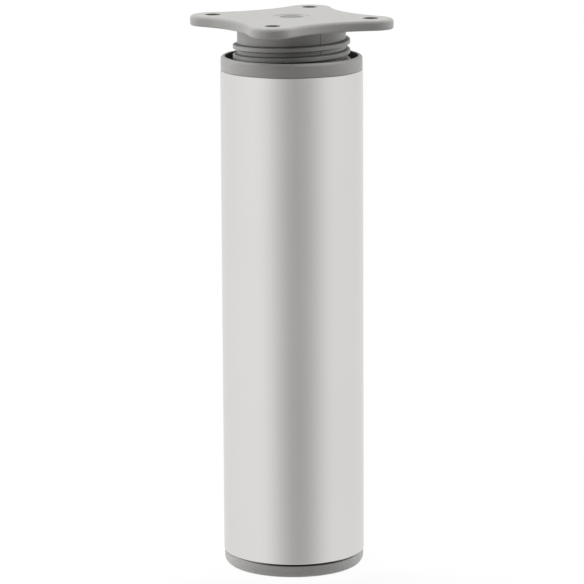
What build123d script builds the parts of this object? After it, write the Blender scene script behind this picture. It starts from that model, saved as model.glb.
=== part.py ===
from build123d import *
from math import hypot
import os

# Furniture leg: a round metal tube on a moulded foot, with a moulded collar in its upper end.
# The mounting plate's hollow stem screws into the collar, which sets the height.
# Millimetres. +Z is up, the origin is on the floor at the middle of the foot.

# Driving dimensions: tube
tube_d = 50.0
tube_wall = 1.2
tube_length = 172.8
tube_edge_r = 0.4

# Driving dimensions: foot
foot_d = 49.6
foot_height = 5.2
foot_floor = 3.0
foot_edge_r = 3.0
foot_lip = 0.2
shadow_gap = 0.6
seat_width = 0.3
spigot_height = 12.0
spigot_wall = 2.2
running_gap = 0.1

# Driving dimensions: collar
collar_d = 49.7
collar_height = 4.9
collar_edge_r = 1.1
collar_rim_r = 0.2
collar_low_r = 0.25
mouth_d = 46.7
mouth_depth = 4.6
shoulder = 1.6
sleeve_depth = 18.0
push_gap = 0.05
sleeve_lead = 0.8

# Driving dimensions: mounting plate and stem
hole_spacing = 40.0
hole_d = 5.2
hole_sink_d = 9.6
lobe_r = 8.0
waist = 47.0
plate_t = 3.6
plate_top_edge_r = 1.2
plate_low_edge_r = 0.6
recess_d = 13.0
recess_depth = 0.15
gate_mark_d = 8.4
gate_mark_depth = 0.3
stem_d = 38.1
stem_length = 40.9
stem_bore_d = 31.6
stem_fillet = 0.8
stem_lead = 0.5
exposed = 10.0

# Driving dimensions: thread, a right-hand coarse moulded one
pitch = 3.5
thread_d = 41.1
upper_root = 1.25
upper_crest = 1.0
lower_crest = -0.5
lower_root = -0.75
crest_edge_r = 0.2
thread_top_drop = 4.9
thread_end = 45.0
pilot = 1.0
thread_lead = 1.6
thread_gap = 0.3
root_gap = 0.35
tooth_gap = 0.4
bury = 0.4

# Heights that follow from them
tube_z0 = foot_height
tube_z1 = tube_z0 + tube_length
collar_z1 = tube_z1 + collar_height
sleeve_z0 = tube_z1 - sleeve_depth
plate_z0 = collar_z1 + exposed
plate_z1 = plate_z0 + plate_t
stem_z0 = plate_z0 - stem_length
nut_z1 = collar_z1 - mouth_depth - shoulder
thread_z1 = plate_z0 - thread_top_drop

# Radii that follow from them
tube_r = tube_d / 2
bore_r = tube_r - tube_wall
stem_r = stem_d / 2
thread_r = thread_d / 2
upper_slope = (upper_crest - upper_root) / (thread_r - stem_r)
lower_slope = (lower_crest - lower_root) / (thread_r - stem_r)
nut_root_r = thread_r + root_gap
nut_crest_r = stem_r + tooth_gap
same = 1e-4


def turned(points):
    """A solid of revolution from (radius, height) points."""
    return revolve(Plane.XZ * make_face(Polyline(*points, close=True)), Axis.Z)


def edge_ring(solid, radius, height):
    """The round edge of a turned solid at this radius and height."""
    rings = [e for e in solid.edges().filter_by(GeomType.CIRCLE) if abs(e.radius - radius) < same]
    return [e for e in rings if abs(e.center().Z - height) < same]


def helical_ridge(section, start_r, start_z, turns):
    """A ridge of this section, swept up a right-hand helix that starts on the +X side."""
    path = Pos(0, 0, start_z) * Helix(pitch, turns * pitch, start_r)
    return sweep(Plane.XZ * Pos(0, start_z) * section, path=path, is_frenet=True)


def make_tube():
    ring = Circle(tube_r) - Circle(bore_r)
    tube = Pos(0, 0, tube_z0) * extrude(ring, tube_length)
    return fillet(edge_ring(tube, tube_r, tube_z0) + edge_ring(tube, tube_r, tube_z1), tube_edge_r)


def make_foot_cap():
    # the tube stands on a narrow seat, which leaves a shadow gap above the foot's rim
    foot_r = foot_d / 2
    seat_r = bore_r + seat_width
    rim_z = foot_height - shadow_gap
    spigot_r = bore_r - running_gap
    hollow_r = spigot_r - spigot_wall
    top = foot_height + spigot_height
    foot = turned([
        (0, 0), (foot_r, 0), (foot_r, rim_z), (seat_r, rim_z), (seat_r, foot_height),
        (spigot_r, foot_height), (spigot_r, top), (hollow_r, top),
        (hollow_r, foot_floor), (0, foot_floor),
    ])
    foot = fillet(edge_ring(foot, foot_r, 0), foot_edge_r)
    foot = chamfer(edge_ring(foot, foot_r, rim_z), foot_lip)
    return chamfer(edge_ring(foot, spigot_r, top), sleeve_lead)


def make_threaded_collar():
    collar_r = collar_d / 2
    mouth_r = mouth_d / 2
    sleeve_r = bore_r - push_gap
    mouth_z0 = collar_z1 - mouth_depth
    collar = turned([
        (nut_root_r, sleeve_z0), (sleeve_r, sleeve_z0), (sleeve_r, tube_z1), (collar_r, tube_z1),
        (collar_r, collar_z1), (mouth_r, collar_z1), (mouth_r, mouth_z0), (nut_root_r, nut_z1),
    ])
    collar = fillet(edge_ring(collar, collar_r, collar_z1), collar_edge_r)
    collar = fillet(edge_ring(collar, mouth_r, collar_z1), collar_rim_r)
    collar = fillet(edge_ring(collar, collar_r, tube_z1), collar_low_r)
    collar = chamfer(edge_ring(collar, sleeve_r, sleeve_z0), sleeve_lead)
    return collar + nut_thread()


def upper_flank(r):
    """Height of the stem ridge's upper flank at this radius, from the middle of the ridge."""
    return upper_root + upper_slope * (r - stem_r)


def lower_flank(r):
    return lower_root + lower_slope * (r - stem_r)


def nut_thread():
    # the nut's ridge fills the groove under each turn of the stem's, less the clearance
    ceiling_gap = thread_gap * hypot(1, lower_slope)
    floor_gap = thread_gap * hypot(1, upper_slope)
    back_r = nut_root_r + bury
    section = make_face(Polyline(
        (back_r, lower_flank(back_r) - ceiling_gap),
        (nut_crest_r, lower_flank(nut_crest_r) - ceiling_gap),
        (nut_crest_r, upper_flank(nut_crest_r) - pitch + floor_gap),
        (back_r, upper_flank(back_r) - pitch + floor_gap), close=True,
    ))
    turns = int((nut_z1 - sleeve_z0) / pitch) + 3
    drop = int((thread_z1 - sleeve_z0) / pitch) + 1
    ridge = helical_ridge(section, nut_root_r, thread_z1 - drop * pitch, turns)
    # it is swept past both ends of the nut, and cones trim it to a lead at each
    depth = nut_root_r - nut_crest_r
    outer = back_r + bury
    inner = nut_crest_r - bury
    room = turned([
        (outer, sleeve_z0), (nut_root_r, sleeve_z0), (inner, sleeve_z0 + depth + bury),
        (inner, nut_z1 - depth - bury), (nut_root_r, nut_z1), (outer, nut_z1),
    ])
    return ridge & room


def plate_outline():
    # four lobes round the screw holes, joined by hollow sides that are tangent to them
    s = hole_spacing / 2
    inset = waist / 2 - s
    side_r = (s**2 + inset**2 - lobe_r**2) / (2 * (lobe_r - inset))
    reach = lobe_r / (side_r + lobe_r)
    join = (s - s * reach, s + (inset + side_r) * reach)
    tip = s + lobe_r / 2**0.5
    side = ThreePointArc((-join[0], join[1]), (0, waist / 2), join)
    lobe = ThreePointArc(join, (tip, tip), join[::-1])
    return make_face([Rot(0, 0, 90 * k) * arc for k in range(4) for arc in (side, lobe)])


def make_mounting_plate():
    plate = Pos(0, 0, plate_z0) * extrude(plate_outline(), plate_t)
    plate = fillet(plate.faces().sort_by(Axis.Z)[-1].edges(), plate_top_edge_r)
    plate = fillet(plate.faces().sort_by(Axis.Z)[0].edges(), plate_low_edge_r)
    stem = Pos(0, 0, stem_z0) * extrude(Circle(stem_r), stem_length)
    stem = chamfer(edge_ring(stem, stem_r, stem_z0), stem_lead)
    body = plate + stem
    body = fillet(edge_ring(body, stem_r, plate_z0), stem_fillet)
    body = body + stem_thread()
    body = body - Pos(0, 0, stem_z0) * extrude(Circle(stem_bore_d / 2), stem_length)
    for width, depth in ((recess_d, recess_depth), (gate_mark_d, gate_mark_depth)):
        body = body - Pos(0, 0, plate_z1 - depth) * extrude(Circle(width / 2), depth)
    sink = (hole_sink_d - hole_d) / 2
    screw_hole = turned([
        (0, plate_z0), (hole_sink_d / 2, plate_z0), (hole_d / 2, plate_z0 + sink),
        (hole_d / 2, plate_z1), (0, plate_z1),
    ])
    return body - [place * screw_hole for place in GridLocations(hole_spacing, hole_spacing, 2, 2)]


def stem_thread():
    back_r = stem_r - bury
    section = make_face(Polyline(
        (thread_r, upper_crest), (back_r, upper_flank(back_r)),
        (back_r, lower_flank(back_r)), (thread_r, lower_crest), close=True,
    ))
    section = fillet(section.vertices().group_by(Axis.X)[-1], crest_edge_r)
    drop = int((thread_z1 - stem_z0) / pitch) + 1
    end_turn = thread_end / 360
    ridge = helical_ridge(section, stem_r, thread_z1 - drop * pitch, drop + end_turn)
    # a flat cut lets the ridge run out into the stem at its upper end
    end_z = thread_z1 + end_turn * pitch
    flat = Pos(stem_r + pitch / 2, 0, end_z) * Box(pitch, stem_d, pitch)
    ridge = ridge - Rot(0, 0, thread_end) * flat
    # a cone gives it a lead at the stem's lower end
    outer = thread_r + bury
    inner = back_r - bury
    room = turned([
        (inner, stem_z0 + pilot), (stem_r, stem_z0 + pilot), (outer, stem_z0 + pilot + thread_lead),
        (outer, plate_z0), (inner, plate_z0),
    ])
    return ridge & room


os.makedirs("parts", exist_ok=True)
pieces = {
    "foot_cap": make_foot_cap(),
    "tube": make_tube(),
    "threaded_collar": make_threaded_collar(),
    "mounting_plate": make_mounting_plate(),
}
for name, piece in pieces.items():
    export_step(piece, f"parts/{name}.step")
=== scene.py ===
import bpy
import bmesh
import math
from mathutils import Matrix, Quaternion, Vector


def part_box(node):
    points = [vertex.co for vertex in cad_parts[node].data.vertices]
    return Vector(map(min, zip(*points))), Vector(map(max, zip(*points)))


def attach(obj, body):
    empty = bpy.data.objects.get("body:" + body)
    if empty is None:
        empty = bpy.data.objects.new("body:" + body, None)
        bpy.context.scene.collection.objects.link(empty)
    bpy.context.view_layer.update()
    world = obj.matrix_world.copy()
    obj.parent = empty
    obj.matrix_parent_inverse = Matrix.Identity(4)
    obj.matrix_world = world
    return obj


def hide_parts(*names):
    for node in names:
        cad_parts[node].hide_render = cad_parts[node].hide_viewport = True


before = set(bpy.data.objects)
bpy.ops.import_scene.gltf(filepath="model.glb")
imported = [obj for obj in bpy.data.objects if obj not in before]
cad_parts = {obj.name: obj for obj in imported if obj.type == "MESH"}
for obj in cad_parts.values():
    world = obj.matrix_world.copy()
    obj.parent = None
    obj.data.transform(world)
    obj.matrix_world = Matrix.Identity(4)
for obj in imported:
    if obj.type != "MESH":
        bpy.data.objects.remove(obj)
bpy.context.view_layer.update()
scene = bpy.context.scene
mm = 0.001
fullTurn = 2 * math.pi
mergeGap = 0.004 * mm               # points closer than this become one
sharpAngle = math.radians(32)       # edges that bend more than this stay crisp
print("frame: loaded", sorted(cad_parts))


# sizes below are millimetres, outer sizes and heights come from the frame's own nodes
def nodeSpan(node):
    low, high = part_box(node)
    return low / mm, high / mm


tubeLow, tubeHigh = nodeSpan("tube")
footLow, footHigh = nodeSpan("foot_cap")
collarLow, collarHigh = nodeSpan("threaded_collar")
plateLow, plateHigh = nodeSpan("mounting_plate")


# a socket of a node tree that can be used in sums
class Wire:
    def __init__(self, net, socket):
        self.net = net
        self.socket = socket

    def calc(self, operation, *others):
        return self.net.add("ShaderNodeMath", {"operation": operation}, [self, *others])

    def __add__(self, other):
        return self.calc("ADD", other)

    def __sub__(self, other):
        return self.calc("SUBTRACT", other)

    def __rsub__(self, other):
        return self.net.add("ShaderNodeMath", {"operation": "SUBTRACT"}, [other, self])

    def __mul__(self, other):
        return self.calc("MULTIPLY", other)

    def __truediv__(self, other):
        return self.calc("DIVIDE", other)

    def __rtruediv__(self, other):
        return self.net.add("ShaderNodeMath", {"operation": "DIVIDE"}, [other, self])

    __radd__ = __add__
    __rmul__ = __mul__


class Net:
    def __init__(self, tree):
        self.tree = tree

    # one way to make any node: its settings first, then values or wires for its sockets
    def add(self, kind, settings=None, values=None, out=0):
        node = self.tree.nodes.new(kind)
        for key, value in (settings or {}).items():
            setattr(node, key, value)
        pairs = values.items() if isinstance(values, dict) else enumerate(values or [])
        for key, value in pairs:
            if isinstance(value, Wire):
                self.tree.links.new(value.socket, node.inputs[key])
            else:
                node.inputs[key].default_value = value
        return Wire(self, node.outputs[out]) if len(node.outputs) else node

    def split(self, vector):
        parts = self.add("ShaderNodeSeparateXYZ", None, [vector])
        return [Wire(self, socket) for socket in parts.socket.node.outputs]

    def ramp(self, value, low, high):
        settings = {"interpolation_type": "SMOOTHSTEP"}
        values = {"Value": value, "From Min": low, "From Max": high}
        return self.add("ShaderNodeMapRange", settings, values)

    def dot(self, vector, other):
        return self.add("ShaderNodeVectorMath", {"operation": "DOT_PRODUCT"}, [vector, other], "Value")

    # noise that swings both ways about zero
    def noise(self, place, scale, detail):
        values = {"Vector": place, "Scale": scale, "Detail": detail}
        return self.add("ShaderNodeTexNoise", None, values) - 0.5

    def blend(self, share, first, second):
        settings = {"data_type": "RGBA", "clamp_factor": True}
        colours = [c if isinstance(c, Wire) else (*c, 1) for c in (first, second)]
        return self.add("ShaderNodeMix", settings, {0: share, 6: colours[0], 7: colours[1]}, 2)


def newMaterial(name):
    material = bpy.data.materials.new(name)
    material.use_nodes = True
    material.node_tree.nodes.clear()
    return material, Net(material.node_tree)


# corners of a section rounded off, each point is (across, height, corner radius)
def roundCorners(points, steps=6):
    path = []
    for k, (x, y, radius) in enumerate(points):
        if not radius or k in (0, len(points) - 1):
            path.append((x, y))
            continue
        here = Vector((x, y))
        back = (Vector(points[k - 1][:2]) - here).normalized()
        ahead = (Vector(points[k + 1][:2]) - here).normalized()
        half = back.angle(ahead) / 2
        middle = here + (back + ahead).normalized() * radius / math.sin(half)
        start = here + back * radius / math.tan(half) - middle
        sweep = start.angle_signed(here + ahead * radius / math.tan(half) - middle)
        for step in range(steps + 1):
            angle = -sweep * step / steps
            c, s = math.cos(angle), math.sin(angle)
            path.append((middle.x + c * start.x - s * start.y, middle.y + s * start.x + c * start.y))
    return path


def ringPoint(radius, height, angle):
    return Vector((radius * math.cos(angle), radius * math.sin(angle), height)) * mm


def bridge(mesh, first, second):
    count = max(len(first), len(second))
    for k in range(count):
        corners = [first[k % len(first)], first[(k + 1) % len(first)]]
        corners += [second[(k + 1) % len(second)], second[k % len(second)]]
        corners = list(dict.fromkeys(corners))
        if len(corners) > 2:
            mesh.faces.new(corners)


# turns a section about a vertical axis and returns its first and last rings
def turn(mesh, section, segments, centre=(0, 0)):
    shift = Vector((*centre, 0)) * mm
    rings = []
    for radius, height in section:
        spots = segments if radius > 0 else 1
        angles = [fullTurn * k / segments for k in range(spots)]
        rings.append([mesh.verts.new(ringPoint(radius, height, a) + shift) for a in angles])
    for first, second in zip(rings, rings[1:]):
        bridge(mesh, first, second)
    return rings[0], rings[-1]


def ringEdges(mesh, ring):
    return [mesh.edges.get((a, b)) for a, b in zip(ring, ring[1:] + ring[:1])]


def finishPiece(name, mesh, material, body, node):
    bmesh.ops.remove_doubles(mesh, verts=mesh.verts, dist=mergeGap)
    bmesh.ops.recalc_face_normals(mesh, faces=mesh.faces)
    loose = sum(not edge.is_manifold for edge in mesh.edges)
    data = bpy.data.meshes.new(name)
    mesh.to_mesh(data)
    mesh.free()
    data.materials.clear()
    data.materials.append(material)
    data.shade_smooth()
    data.set_sharp_from_angle(angle=sharpAngle)
    piece = bpy.data.objects.new(name, data)
    scene.collection.objects.link(piece)
    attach(piece, body)
    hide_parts(node)
    print("piece:", name, len(data.polygons), "faces,", loose, "open edges")


plasticLook = {
    "dark": (0.386, 0.380, 0.366),
    "light": (0.456, 0.450, 0.434),
    "grain": 1.8,           # swings to the millimetre
    "grainDetail": 3.0,
    "flow": 0.09,
    "flowDetail": 2.0,
    "flowShade": 0.8,
    "grainShade": 2.0,
    "grainBump": 0.05,
    "bumpStrength": 0.25,
    "roughness": 0.46,
    "flowRough": 0.10,
    "grainRough": 0.12,
    "specular": 0.5,
}


# matt moulded plastic, marks gives (where, colour, roughness) for marks and painted shade on a piece
def mouldedPlastic(name, look, marks=None):
    material, net = newMaterial(name)
    place = net.add("ShaderNodeTexCoord", None, None, "Object")
    place = net.add("ShaderNodeVectorMath", {"operation": "SCALE"}, {0: place, "Scale": 1 / mm})
    grain = net.noise(place, look["grain"], look["grainDetail"])
    flow = net.noise(place, look["flow"], look["flowDetail"])
    shade = flow * look["flowShade"] + grain * look["grainShade"] + 0.5
    tone = net.blend(shade, look["dark"], look["light"])
    rough = look["roughness"] + flow * look["flowRough"] + grain * look["grainRough"]
    if marks:
        x, y, z = net.split(place)
        reach = (x * x + y * y).calc("SQRT")
        for where, colour, markRough in marks(net, x, y, z, reach):
            tone = net.blend(where, tone, colour)
            rough = rough + where * (markRough - rough)
    bump = net.add(
        "ShaderNodeBump", None,
        {"Strength": look["bumpStrength"], "Distance": mm, "Height": grain * look["grainBump"]},
    )
    surface = net.add("ShaderNodeBsdfPrincipled", None, {
        "Base Color": tone, "Roughness": rough, "Normal": bump,
        "Specular IOR Level": look["specular"],
    })
    net.add("ShaderNodeOutputMaterial", None, [surface])
    return material


metalLook = {
    "dark": (0.655, 0.645, 0.630),
    "light": (0.715, 0.705, 0.690),
    "lineScale": (900, 900, 6),     # swings to the metre, few of them along the tube
    "lineDetail": 4.0,
    "cloudScale": 22.0,
    "cloudDetail": 2.0,
    "lineShade": 0.35,
    "cloudShade": 0.5,
    "roughness": 0.29,
    "lineRough": 0.05,
    "cloudRough": 0.04,
    "lineBump": 0.02,
    "bumpStrength": 0.15,
}


# satin metal with faint lines along the tube
def satinMetal(name, look):
    material, net = newMaterial(name)
    place = net.add("ShaderNodeTexCoord", None, None, "Object")
    stretch = net.add("ShaderNodeMapping", None, {"Vector": place, "Scale": look["lineScale"]})
    lines = net.noise(stretch, 1.0, look["lineDetail"])
    cloud = net.noise(place, look["cloudScale"], look["cloudDetail"])
    shade = lines * look["lineShade"] + cloud * look["cloudShade"] + 0.5
    tone = net.blend(shade, look["dark"], look["light"])
    rough = look["roughness"] + lines * look["lineRough"] + cloud * look["cloudRough"]
    bump = net.add(
        "ShaderNodeBump", None,
        {"Strength": look["bumpStrength"], "Distance": mm, "Height": lines * look["lineBump"]},
    )
    surface = net.add(
        "ShaderNodeBsdfPrincipled", None,
        {"Base Color": tone, "Roughness": rough, "Normal": bump, "Metallic": 1.0},
    )
    net.add("ShaderNodeOutputMaterial", None, [surface])
    return material


tubeLook = {
    "wall": 1.2,
    "outerEdge": 0.4,       # rolled edge that catches the light above the foot
    "innerEdge": 0.2,
    "segments": 192,
}


def makeTube(look):
    outer = (tubeHigh.x - tubeLow.x) / 2
    inner = outer - look["wall"]
    bottom, top = tubeLow.z, tubeHigh.z
    middle = (bottom + top) / 2
    section = roundCorners([
        (outer, middle, 0), (outer, top, look["outerEdge"]), (inner, top, look["innerEdge"]),
        (inner, bottom, look["innerEdge"]), (outer, bottom, look["outerEdge"]), (outer, middle, 0),
    ])
    mesh = bmesh.new()
    turn(mesh, section, look["segments"])
    material = satinMetal("tubeMetal", metalLook)
    finishPiece("tubeShell", mesh, material, "leg", "tube")
    return inner


tubeBore = makeTube(tubeLook)

footLook = {
    "height": 5.2,
    "shadowGap": 0.6,       # the tube stands on a narrow seat, a little above the foot's rim
    "seatWidth": 0.3,
    "floorThickness": 3.0,
    "edgeRadius": 3.0,
    "lip": 0.2,
    "gapAngle": 247.0,          # the gap is open on this side and closes round the foot
    "gapEdge": (0.90, 0.45),    # cosines from that side, where it starts to close and is shut
    "gapLeft": 0.06,
    "spigotGap": 0.1,
    "spigotWall": 2.2,
    "spigotCorner": 0.2,
    "lead": 0.8,
    "hollowEdge": 0.3,
    "hollowCorner": 0.6,
    "gapShadeTone": (0.07, 0.07, 0.07),    # painted shade, darkest where the gap is open
    "gapShadeSpread": (0.72, 0.97),
    "gapShadeLevel": (-0.15, -0.05),       # from the rim's height, where it starts and is full
    "gapShadeRough": 0.8,
    "segments": 192,
}


# the two ends of a soft border, given as distances from an edge
def beside(edge, border):
    return [edge + offset for offset in border]


# from 0 at low to 1 at high, whichever is greater
def smoothStep(value, low, high):
    share = min(max((value - low) / (high - low), 0), 1)
    return share * share * (3 - 2 * share)


def makeFoot(look):
    flange = (footHigh.x - footLow.x) / 2
    seat = tubeBore + look["seatWidth"]
    spigot = tubeBore - look["spigotGap"]
    hollow = spigot - look["spigotWall"]
    floor, step, top = look["floorThickness"], look["height"], footHigh.z
    rim = step - look["shadowGap"]
    section = roundCorners([
        (0, 0, 0), (flange, 0, look["edgeRadius"]), (flange, rim, look["lip"]), (seat, rim, 0),
        (seat, step, 0), (spigot, step, look["spigotCorner"]), (spigot, top, look["lead"]),
        (hollow, top, look["hollowEdge"]), (hollow, floor, look["hollowCorner"]), (0, floor, 0),
    ], steps=8)
    mesh = bmesh.new()
    turn(mesh, section, look["segments"])

    # the rim rises to the tube where the gap closes
    angle = math.radians(look["gapAngle"])
    openX, openY = math.cos(angle), math.sin(angle)
    rise = look["shadowGap"] - look["gapLeft"]
    near = 0.01
    for vert in mesh.verts:
        x, y, z = vert.co / mm
        reach = math.hypot(x, y)
        if reach > seat - near and rim - look["lip"] - near < z < rim + near:
            ahead = (x * openX + y * openY) / reach
            vert.co.z += smoothStep(ahead, *look["gapEdge"]) * rise * mm

    # painted shade in the gap between the foot's rim and the tube, strongest on its open side
    def paintGapShade(net, x, y, z, reach):
        ahead = (x * openX + y * openY) / reach.calc("MAXIMUM", 1.0)     # never zero on the axis
        inGap = net.ramp(z, *beside(rim, look["gapShadeLevel"])) * net.ramp(reach, spigot, seat)
        return [(net.ramp(ahead, *look["gapShadeSpread"]) * inGap, look["gapShadeTone"], look["gapShadeRough"])]

    material = mouldedPlastic("footPlastic", plasticLook, paintGapShade)
    finishPiece("footCap", mesh, material, "foot", "foot_cap")


makeFoot(footLook)

threadLook = {
    "stemRadius": 19.05,
    "pitch": 3.5,
    "crestHeight": 1.5,
    "upperRoot": 1.25,      # where the flanks meet the stem and the crest, from the ridge's middle
    "upperCrest": 1.0,
    "lowerCrest": -0.5,
    "lowerRoot": -0.75,
    "crestRound": 0.2,
    "crestDrop": 8.5,       # middle of the ridge below the plate's top on the +X side
    "endTurn": 0.125,       # where the ridge runs out into the stem, in turns past the +X side
    "cutTurn": 0.15,        # how far back the flat cut there reaches, in turns
    "flankGap": 0.3,
    "rootGap": 0.35,
    "toothGap": 0.4,
    "rowsPerTurn": 28,
    "rootBlend": 0.05,      # radius left in the corner under each ridge
}

crestZ = plateHigh.z - threadLook["crestDrop"]
upperSlope = (threadLook["upperRoot"] - threadLook["upperCrest"]) / threadLook["crestHeight"]
lowerSlope = (threadLook["lowerCrest"] - threadLook["lowerRoot"]) / threadLook["crestHeight"]


# the ridge nearest to a height, counted in turns, and the height above that ridge's middle
def nearestRidge(z, share, middle, pitch):
    phase = (z - middle) / pitch - share
    ridgeTurn = (phase + 0.5).calc("FLOOR")
    return ridgeTurn, (phase - ridgeTurn) * pitch


# the threaded wall, a sheared grid wrapped round the axis so that its rows follow the helix
def buildThreadTree():
    tree = bpy.data.node_groups.new("screwThread", "GeometryNodeTree")
    net = Net(tree)
    lengths = [
        "Radius", "Outward", "Pitch", "Crest Z", "Start Z", "Low Z", "High Z", "Span", "Upper Root",
        "Upper Slope", "Lower Root", "Lower Slope", "Crest Height", "Crest Round",
        "Lead Low Z", "Lead Low Slope", "Lead High Z", "Lead High Slope", "End Turn", "Root Blend",
    ]
    for name in lengths:
        tree.interface.new_socket(name, in_out="INPUT", socket_type="NodeSocketFloat")
    for name in ("Columns", "Rows"):
        tree.interface.new_socket(name, in_out="INPUT", socket_type="NodeSocketInt")
    tree.interface.new_socket("Material", in_out="INPUT", socket_type="NodeSocketMaterial")
    tree.interface.new_socket("Wall", in_out="OUTPUT", socket_type="NodeSocketGeometry")
    source = net.add("NodeGroupInput").socket.node
    size = {socket.name: Wire(net, socket) for socket in source.outputs if socket.name}

    grid = net.add("GeometryNodeMeshGrid", None, [1.0, 1.0, size["Columns"], size["Rows"]])
    column, row = net.split(net.add("GeometryNodeInputPosition"))[:2]
    share = column + 0.5
    angle = share * fullTurn
    rise = size["Start Z"] + (row + 0.5) * size["Span"] + share * size["Pitch"]
    z = rise.calc("MAXIMUM", size["Low Z"]).calc("MINIMUM", size["High Z"])

    # what the flanks, the crest and the leads leave standing of the nearest ridge
    ridgeTurn, away = nearestRidge(z, share, size["Crest Z"], size["Pitch"])
    upperEdge = size["Upper Root"] - size["Upper Slope"] * size["Crest Height"]
    lowerEdge = size["Lower Root"] + size["Lower Slope"] * size["Crest Height"]
    rounding = size["Crest Round"]
    ridge = size["Crest Height"]
    for past in (away - upperEdge, lowerEdge - away):
        into = (past + rounding).calc("MAXIMUM", 0.0).calc("MINIMUM", rounding)
        ridge = ridge - rounding + (rounding * rounding - into * into).calc("SQRT")
    ridge = ridge.calc("MINIMUM", (size["Upper Root"] - away) / size["Upper Slope"])
    ridge = ridge.calc("MINIMUM", (away - size["Lower Root"]) / size["Lower Slope"])
    ridge = ridge.calc("MINIMUM", (z - size["Lead Low Z"]) * size["Lead Low Slope"])
    ridge = ridge.calc("MINIMUM", (size["Lead High Z"] - z) * size["Lead High Slope"])

    # a flat cut across the last stretch lets the ridge run out into the wall
    left = size["End Turn"] - ridgeTurn - share
    slant = left.calc("MAXIMUM", 0.0).calc("MINIMUM", threadLook["cutTurn"]) * fullTurn
    cut = size["Radius"] / slant.calc("COSINE") - size["Radius"]
    ridge = ridge.calc("MINIMUM", cut - size["Root Blend"])
    ridge = ridge.calc("SMOOTH_MAX", 0.0, size["Root Blend"])

    radius = size["Radius"] + size["Outward"] * ridge
    place = net.add(
        "ShaderNodeCombineXYZ", None,
        [radius * angle.calc("COSINE") * mm, radius * angle.calc("SINE") * mm, z * mm],
    )
    wall = net.add("GeometryNodeSetPosition", None, {"Geometry": grid, "Position": place})
    wall = net.add("GeometryNodeMergeByDistance", None, {"Geometry": wall, "Distance": mergeGap})
    wall = net.add("GeometryNodeRealizeInstances", None, {"Geometry": wall})
    wall = net.add("GeometryNodeSetMaterial", None, {"Geometry": wall, "Material": size["Material"]})
    net.add("NodeGroupOutput", None, {"Wall": wall})
    return tree


threadTree = buildThreadTree()


# runs the tree on an empty mesh and returns the plain mesh it makes
def threadWall(values):
    holder = bpy.data.objects.new("threadHolder", bpy.data.meshes.new("threadHolder"))
    scene.collection.objects.link(holder)
    modifier = holder.modifiers.new("thread", "NODES")
    modifier.node_group = threadTree
    for item in threadTree.interface.items_tree:
        if item.in_out == "INPUT":
            modifier[item.identifier] = values[item.name]
    bpy.context.view_layer.update()
    ready = holder.evaluated_get(bpy.context.evaluated_depsgraph_get())
    data = bpy.data.meshes.new_from_object(ready)
    holder.modifiers.remove(modifier)
    bpy.data.objects.remove(holder)
    return data


# rows start a whole number of steps below the crest, so that they run along its edges
def threadValues(low, high, segments, material):
    pitch = threadLook["pitch"]
    step = pitch / threadLook["rowsPerTurn"]
    start = crestZ - math.ceil((crestZ - low + pitch) / step) * step
    rows = math.ceil((high - start) / step) + 2         # past the top all the way round
    return {
        "Pitch": pitch, "Start Z": start, "Low Z": low, "High Z": high, "Span": (rows - 1) * step,
        "Columns": segments + 1, "Rows": rows, "Material": material,
        "Root Blend": threadLook["rootBlend"],
    }


collarLook = {
    "outerEdge": 1.1,
    "innerEdge": 0.2,
    "lowEdge": 0.25,
    "mouthRadius": 23.35,
    "mouthDepth": 4.6,
    "mouthCorner": 0.4,
    "shoulder": 1.6,
    "sleeveGap": 0.05,
    "lead": 0.8,
    "mouthShadeTone": (0.02, 0.02, 0.02),       # painted shade on the nut's thread and up inside its mouth
    "mouthShadeRough": 0.4,
    "mouthShadeDrop": (-0.1, -0.4),         # from the rim's top, where it starts and is full
    "mouthShadeReach": (0.15, 0.05),        # the same from the mouth's wall
    "segments": 160,
}


def makeCollar(look):
    flange = (collarHigh.x - collarLow.x) / 2
    sleeve = tubeBore - look["sleeveGap"]
    stem = threadLook["stemRadius"]
    rootRadius = stem + threadLook["crestHeight"] + threadLook["rootGap"]
    crestRadius = stem + threadLook["toothGap"]
    top, bottom, seat = collarHigh.z, collarLow.z, tubeHigh.z
    mouth = look["mouthRadius"]
    mouthFloor = top - look["mouthDepth"]
    nutTop = mouthFloor - look["shoulder"]

    # painted shade inside the mouth, from just below the rim down
    def paintMouthShade(net, x, y, z, reach):
        inside = net.ramp(reach, *beside(mouth, look["mouthShadeReach"]))
        below = net.ramp(z, *beside(top, look["mouthShadeDrop"]))
        return [(inside * below, look["mouthShadeTone"], look["mouthShadeRough"])]

    material = mouldedPlastic("collarPlastic", plasticLook, paintMouthShade)
    # the nut's ridge fills the groove between two turns of the stem's, less the gap
    reach = rootRadius - stem
    half = threadLook["pitch"] / 2
    ceilingGap = threadLook["flankGap"] * math.hypot(1, lowerSlope)
    floorGap = threadLook["flankGap"] * math.hypot(1, upperSlope)
    blend = threadLook["rootBlend"]
    values = threadValues(bottom, nutTop, look["segments"], material)
    values.update({
        "Radius": rootRadius, "Outward": -1.0, "Crest Z": crestZ + half,
        "Upper Root": half + threadLook["lowerRoot"] + lowerSlope * reach - ceilingGap,
        "Upper Slope": lowerSlope,
        "Lower Root": threadLook["upperRoot"] - upperSlope * reach + floorGap - half,
        "Lower Slope": upperSlope, "Crest Height": rootRadius - crestRadius,
        "Crest Round": 0.0,
        "Lead Low Z": bottom + blend, "Lead Low Slope": 1.0,
        "Lead High Z": nutTop - blend, "Lead High Slope": 1.0, "End Turn": 1.0,
    })
    mesh = bmesh.new()
    mesh.from_mesh(threadWall(values))
    section = roundCorners([
        (rootRadius, bottom, 0), (sleeve, bottom, look["lead"]), (sleeve, seat, 0),
        (flange, seat, look["lowEdge"]), (flange, top, look["outerEdge"]),
        (mouth, top, look["innerEdge"]), (mouth, mouthFloor, look["mouthCorner"]),
        (rootRadius, nutTop, 0),
    ])
    turn(mesh, section, look["segments"])
    finishPiece("collarRing", mesh, material, "leg", "threaded_collar")


makeCollar(collarLook)

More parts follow.
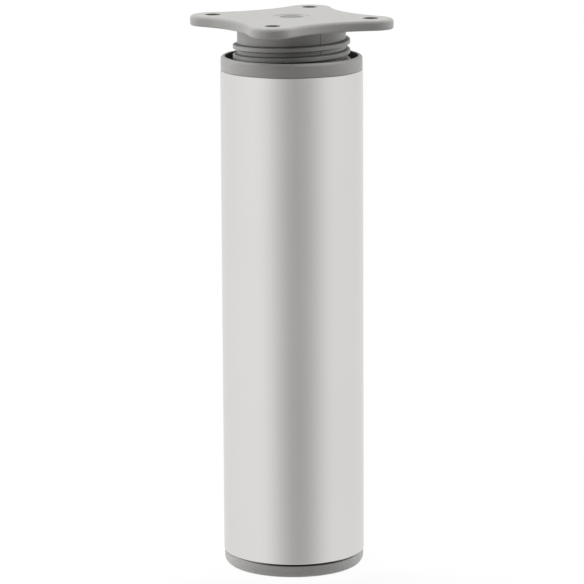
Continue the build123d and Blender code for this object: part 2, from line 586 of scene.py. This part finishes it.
plateLook = {
    "thickness": 3.6,
    "holeSpacing": 40.0,
    "waist": 47.0,
    "topEdge": 1.2,
    "lowEdge": 0.6,
    "holeRadius": 2.6,
    "holeEdge": 0.2,
    "sinkRadius": 4.8,
    "sinkEdge": 0.15,
    "recessRadius": 6.5,
    "recessDepth": 0.15,
    "gateRadius": 4.2,      # round mark of the mould's gate
    "gateDepth": 0.3,
    "dishCorners": (0.04, 0.06, 0.05, 0.06),    # of the mark and the recess, from the middle out
    "rimFlat": 0.3,         # flat rim kept beside each rounded edge
    "stemBore": 15.8,
    "boreEdge": 0.3,
    "boreCorner": 1.0,
    "neckFillet": 0.8,
    "stemLead": 0.5,
    "threadStart": 1.0,
    "threadLead": 1.6,
    "leadReach": 1.9,
    "sideSteps": 18,
    "lobeSteps": 22,
    "holeSegments": 48,
    "segments": 160,
}

# marks and painted shade on the plate's plastic, each border gives where a mark starts and is full
plateMarks = {
    "stemSkin": (-1.0, -0.8),           # from the stem's radius
    "creaseShadeTone": (0.16, 0.16, 0.155),  # painted shade in the thread's corners
    "creaseShadeRough": 0.5,
    "creaseWidth": 0.3,
    "creaseFade": 0.1,
    "creaseEnd": (0.0, 0.05),           # turns from the end of the ridge
    "partingTone": (0.16, 0.16, 0.155),     # the mould's parting line down the neck
    "partingRough": 0.55,
    "partingHalf": (0.2, 0.08),         # to each side of its middle
    "partingSkin": (0.5, 0.2),          # from the stem's radius, so that it keeps off the ridge
    "partingTop": (-0.2, -0.4),         # from the plate's underside
    "partingEnd": (-9.2, -9.0),
    "gateTone": (0.27, 0.27, 0.263),    # the gate's mark
    "gateRough": 0.7,
    "gateReach": (0.05, -0.1),          # from its radius
    "gateLevel": (-0.6, -0.45),         # from the plate's top
    "holeShadeTone": (0.17, 0.17, 0.165),    # painted shade inside the screw holes
    "holeRough": 0.7,
    "holeReach": (0.2, 0.1),            # from the hole's radius
    "holeLevel": (0.8, 1.2),            # from the plate's underside
}

lobeRadius = plateHigh.x - plateLook["holeSpacing"] / 2


# the plate's edge, set in by some way: lobes round the holes and hollow sides between them
def plateRing(mesh, look, inset, height):
    half = look["holeSpacing"] / 2
    dip = look["waist"] / 2 - half
    sideRadius = (half**2 + dip**2 - lobeRadius**2) / (2 * (lobeRadius - dip))
    sideCentre = look["waist"] / 2 + sideRadius
    swing = math.atan2(half, sideCentre - half)
    lobe = lobeRadius - inset
    side = sideRadius + inset
    spots = []
    for k in range(look["sideSteps"]):
        a = swing * (1 - 2 * k / look["sideSteps"])
        spots.append(Vector((side * math.sin(a), sideCentre - side * math.cos(a))))
    for k in range(look["lobeSteps"]):
        a = math.pi / 2 - swing + (math.pi / 2 + 2 * swing) * k / look["lobeSteps"]
        spots.append(Vector((-half + lobe * math.cos(a), half + lobe * math.sin(a))))
    ring = []
    for quarter in range(4):
        spin = quarter * math.pi / 2
        c, s = math.cos(spin), math.sin(spin)
        for spot in spots:
            place = Vector((c * spot.x - s * spot.y, s * spot.x + c * spot.y, height))
            ring.append(mesh.verts.new(place * mm))
    return ring


def makePlate(look):
    top = plateHigh.z
    low = top - look["thickness"]
    foot = plateLow.z
    stem = threadLook["stemRadius"]

    # the mould's own marks, parting line and gate, with painted shade in the thread's corners and the
    # screw holes
    def mouldMarksAndShade(net, x, y, z, reach):
        marks = plateMarks
        onStem = net.ramp(reach, *beside(stem, marks["stemSkin"]))
        # painted shade in the corners above and below the stem's ridge
        share = (y.calc("ARCTAN2", x) / fullTurn).calc("FRACT")
        ridgeTurn, away = nearestRidge(z, share, crestZ, threadLook["pitch"])
        upperRoot, lowerRoot = threadLook["upperRoot"], threadLook["lowerRoot"]
        upperCrest, lowerCrest = threadLook["upperCrest"], threadLook["lowerCrest"]
        width, fade = marks["creaseWidth"], marks["creaseFade"]
        above = net.ramp(away, upperCrest, upperCrest + fade)
        above = above * net.ramp(away, upperRoot + width, upperRoot + width / 2)
        below = net.ramp(away, lowerCrest, lowerCrest - fade)
        below = below * net.ramp(away, lowerRoot - width, lowerRoot - width / 2)
        threaded = onStem * net.ramp(threadLook["endTurn"] - ridgeTurn - share, *marks["creaseEnd"])
        # the parting line, on the stem's core only
        line = net.ramp(x.calc("ABSOLUTE"), *marks["partingHalf"])
        line = line * onStem * net.ramp(reach, *beside(stem, marks["partingSkin"]))
        line = line * net.ramp(z, *beside(low, marks["partingTop"]))
        line = line * net.ramp(z, *beside(low, marks["partingEnd"]))
        gate = net.ramp(reach, *beside(look["gateRadius"], marks["gateReach"]))
        gate = gate * net.ramp(z, *beside(top, marks["gateLevel"]))
        # painted shade inside the screw holes
        besideX, besideY = [axis.calc("ABSOLUTE") - look["holeSpacing"] / 2 for axis in (x, y)]
        fromHole = (besideX * besideX + besideY * besideY).calc("SQRT")
        hole = net.ramp(fromHole, *beside(look["holeRadius"], marks["holeReach"]))
        hole = hole * net.ramp(z, *beside(low, marks["holeLevel"]))
        return [
            ((above + below) * threaded, marks["creaseShadeTone"], marks["creaseShadeRough"]),
            (line, marks["partingTone"], marks["partingRough"]),
            (gate, marks["gateTone"], marks["gateRough"]),
            (hole, marks["holeShadeTone"], marks["holeRough"]),
        ]

    material = mouldedPlastic("platePlastic", plasticLook, mouldMarksAndShade)
    mesh = bmesh.new()
    flat = look["rimFlat"]
    edge = roundCorners([
        (look["topEdge"] + flat, top, 0), (0, top, look["topEdge"]),
        (0, low, look["lowEdge"]), (look["lowEdge"] + flat, low, 0),
    ], steps=8)
    rings = [plateRing(mesh, look, inset, height) for inset, height in edge]
    for first, second in zip(rings, rings[1:]):
        bridge(mesh, first, second)
    topEdges = ringEdges(mesh, rings[0])
    lowEdges = ringEdges(mesh, rings[-1])

    half = look["holeSpacing"] / 2
    holeRadius, sinkRadius = look["holeRadius"], look["sinkRadius"]
    hole = roundCorners([
        (holeRadius + look["holeEdge"] + flat, top, 0), (holeRadius, top, look["holeEdge"]),
        (holeRadius, low + sinkRadius - holeRadius, 0), (sinkRadius, low, look["sinkEdge"]),
        (sinkRadius + flat, low, 0),
    ], steps=4)
    for x in (-half, half):
        for y in (-half, half):
            upper, lower = turn(mesh, hole, look["holeSegments"], (x, y))
            topEdges += ringEdges(mesh, upper)
            lowEdges += ringEdges(mesh, lower)

    # the threaded outside of the stem, then its end, bore and ceiling
    wallLow = foot + look["stemLead"]
    wallHigh = low - look["neckFillet"]
    values = threadValues(wallLow, wallHigh, look["segments"], material)
    values.update({
        "Radius": stem, "Outward": 1.0, "Crest Z": crestZ, "Crest Height": threadLook["crestHeight"],
        "Upper Root": threadLook["upperRoot"], "Upper Slope": upperSlope,
        "Lower Root": threadLook["lowerRoot"], "Lower Slope": lowerSlope,
        "Crest Round": threadLook["crestRound"],
        "Lead Low Z": foot + look["threadStart"],
        "Lead Low Slope": look["leadReach"] / look["threadLead"],
        "Lead High Z": low, "Lead High Slope": 2.0, "End Turn": threadLook["endTurn"],
    })
    mesh.from_mesh(threadWall(values))
    bore = look["stemBore"]
    inside = roundCorners([
        (stem, wallLow, 0), (stem - look["stemLead"], foot, 0), (bore, foot, look["boreEdge"]),
        (bore, low, look["boreCorner"]), (0, low, 0),
    ], steps=5)
    turn(mesh, inside, look["segments"])

    # the shallow recess in the top with the gate's mark in it
    recess, gate = look["recessRadius"], look["gateRadius"]
    recessFloor, gateFloor = top - look["recessDepth"], top - look["gateDepth"]
    gateLow, gateHigh, recessLow, recessHigh = look["dishCorners"]
    dish = roundCorners([
        (0, gateFloor, 0), (gate, gateFloor, gateLow), (gate, recessFloor, gateHigh),
        (recess, recessFloor, recessLow), (recess, top, recessHigh), (recess + flat, top, 0),
    ], steps=4)
    topEdges += ringEdges(mesh, turn(mesh, dish, look["segments"])[1])
    fillet = look["neckFillet"]
    neck = roundCorners([(stem, wallHigh, 0), (stem, low, fillet), (stem + fillet + flat, low, 0)])
    lowEdges += ringEdges(mesh, turn(mesh, neck, look["segments"])[1])
    bmesh.ops.triangle_fill(mesh, use_beauty=True, edges=topEdges, normal=(0, 0, 1))
    bmesh.ops.triangle_fill(mesh, use_beauty=True, edges=lowEdges, normal=(0, 0, -1))
    finishPiece("mountingPlate", mesh, material, "plate", "mounting_plate")


makePlate(plateLook)

cameraLook = {
    "azimuth": -31.8,
    "distance": 1285.5,
    "height": 353.1,
    "tiltDown": 11.208,
    "swing": 0.0123,
    "roll": -0.3026,
    "lens": 228.1,
    "sensor": 36.0,
    "clip": (0.05, 50.0),       # metres
}


def makeCamera(look):
    azimuth = math.radians(look["azimuth"])
    camera = bpy.data.objects.new("photoCamera", bpy.data.cameras.new("photoCamera"))
    camera.data.sensor_width = look["sensor"]
    camera.data.lens = look["lens"]
    camera.data.clip_start, camera.data.clip_end = look["clip"]
    camera.location = Vector((math.sin(azimuth), -math.cos(azimuth), 0)) * look["distance"] * mm
    camera.location.z = look["height"] * mm
    heading = azimuth + math.radians(look["swing"])
    tilt = math.radians(look["tiltDown"])
    across = math.cos(tilt)
    aim = Vector((-math.sin(heading) * across, math.cos(heading) * across, -math.sin(tilt)))
    roll = Quaternion((0, 0, 1), math.radians(look["roll"]))
    camera.rotation_mode = "QUATERNION"
    camera.rotation_quaternion = aim.to_track_quat("-Z", "Y") @ roll
    scene.collection.objects.link(camera)
    scene.camera = camera


makeCamera(cameraLook)
print("camera: set")

studioLook = {
    "frontSwing": 7.5,          # the dim side of the studio lies a little right of the camera
    "sideLevel": 5.0,           # the light that falls on the leg: bright sides, dim front
    "sideFall": 0.75,           # how far the sides dim higher up
    "sideEdge": (0.05, 0.50),
    "backLevel": 0.9,
    "backEdge": (-0.35, -0.90),
    "frontLevel": 0.02,
    "frontEdge": (-0.34, 0.34),
    "roofLevel": 1.82,
    "roofEdge": (0.38, 0.90),
    "leftShare": 0.04,
    "mirrorFront": 0.43,        # what shiny surfaces show: white, with the dim front
    "mirrorEdge": 0.45,
    "mirrorBackFall": 0.06,
    "mirrorFloor": 1.12,        # the lit floor, which only rounded lower edges show
    "mirrorFloorEdge": (-0.62, -0.92),
}


# level direction towards the dim side of the studio
def studioFront():
    angle = math.radians(cameraLook["azimuth"] + studioLook["frontSwing"])
    return Vector((math.sin(angle), -math.cos(angle), 0))


def makeWorld(look):
    world = bpy.data.worlds.new("studio")
    scene.world = world
    world.use_nodes = True
    world.node_tree.nodes.clear()
    net = Net(world.node_tree)
    away = net.add("ShaderNodeTexCoord", None, None, "Generated")
    front = studioFront()
    facing = net.dot(away, front)
    leftward = net.dot(away, (front.y, -front.x, 0))
    x, y, z = net.split(away)
    side, back = look["sideLevel"], look["backLevel"]
    soft = side - net.ramp(facing, *look["frontEdge"]) * (side - look["frontLevel"])
    soft = soft - net.ramp(facing, *look["backEdge"]) * (side - back)
    soft = soft * (1 - net.ramp(z, *look["sideEdge"]) * look["sideFall"])
    soft = soft + net.ramp(z, *look["roofEdge"]) * (look["roofLevel"] - soft)
    outward = (x * x + y * y).calc("SQRT").calc("MAXIMUM", 0.05)        # never zero overhead
    dim = ((facing / outward - look["mirrorEdge"]) / (1 - look["mirrorEdge"])).calc("MAXIMUM", 0.0)
    white = 1 + facing * look["mirrorBackFall"] - dim * dim * (1 - look["mirrorFront"])
    white = white + net.ramp(z, *look["mirrorFloorEdge"]) * (look["mirrorFloor"] - white)
    tilt = 1 + leftward * look["leftShare"]
    ray = net.add("ShaderNodeLightPath").socket.node
    kinds = ("Is Camera Ray", "Is Glossy Ray", "Is Transmission Ray")
    camera, glossy, through = [Wire(net, ray.outputs[kind]) for kind in kinds]
    level = (soft + glossy * (white - soft)) * tilt
    seen = camera.calc("MAXIMUM", through)
    strength = level + seen * (1 - level)
    light = net.add("ShaderNodeBackground", None, {"Color": (1, 1, 1, 1), "Strength": strength})
    net.add("ShaderNodeOutputWorld", None, [light])


floorLook = {
    "size": 6.0,                # metres, as are the reaches below
    "drop": 0.05 * mm,          # just clear of the foot
    "sideTone": 0.92,           # bright at the leg's sides, dark towards the camera and far out
    "farTone": 0.09,
    "frontEdge": (0.2, 1.0),
    "frontReach": (0.016, 0.042),
    "toneReach": (0.4, 1.6),
    "shadowShare": 0.05,        # how much of the floor's own light and shade the camera sees
    "shadowReach": (0.03, 0.20),
}


def makeFloor(look):
    mesh = bmesh.new()
    bmesh.ops.create_grid(mesh, x_segments=1, y_segments=1, size=look["size"] / 2)
    data = bpy.data.meshes.new("floor")
    mesh.to_mesh(data)
    mesh.free()
    floor = bpy.data.objects.new("floor", data)
    scene.collection.objects.link(floor)
    material, net = newMaterial("floorPaper")
    place = net.add("ShaderNodeTexCoord", None, None, "Object")
    reach = net.add("ShaderNodeVectorMath", {"operation": "LENGTH"}, [place], "Value")
    facing = net.dot(place, studioFront()) / reach.calc("MAXIMUM", 0.001)     # never zero under the foot
    dark = net.ramp(facing, *look["frontEdge"]) * net.ramp(reach, *look["frontReach"])
    dark = dark.calc("MAXIMUM", net.ramp(reach, *look["toneReach"]))
    tone = look["sideTone"] - dark * (look["sideTone"] - look["farTone"])
    paper = net.add("ShaderNodeBsdfDiffuse", None, {"Color": tone})
    glow = net.add("ShaderNodeEmission", None, {"Color": (1, 1, 1, 1), "Strength": 1.0})
    seen = net.add("ShaderNodeLightPath", None, None, "Is Camera Ray")
    share = 1 - (1 - net.ramp(reach, *look["shadowReach"])) * look["shadowShare"]
    both = net.add("ShaderNodeMixShader", None, [seen * share, paper, glow])
    net.add("ShaderNodeOutputMaterial", None, [both])
    data.materials.append(material)
    floor.visible_glossy = False        # the tube mirrors the white studio instead
    floor.location.z = -look["drop"]


makeFloor(floorLook)
makeWorld(studioLook)
scene.view_settings.view_transform = "Standard"
print("stage: set")
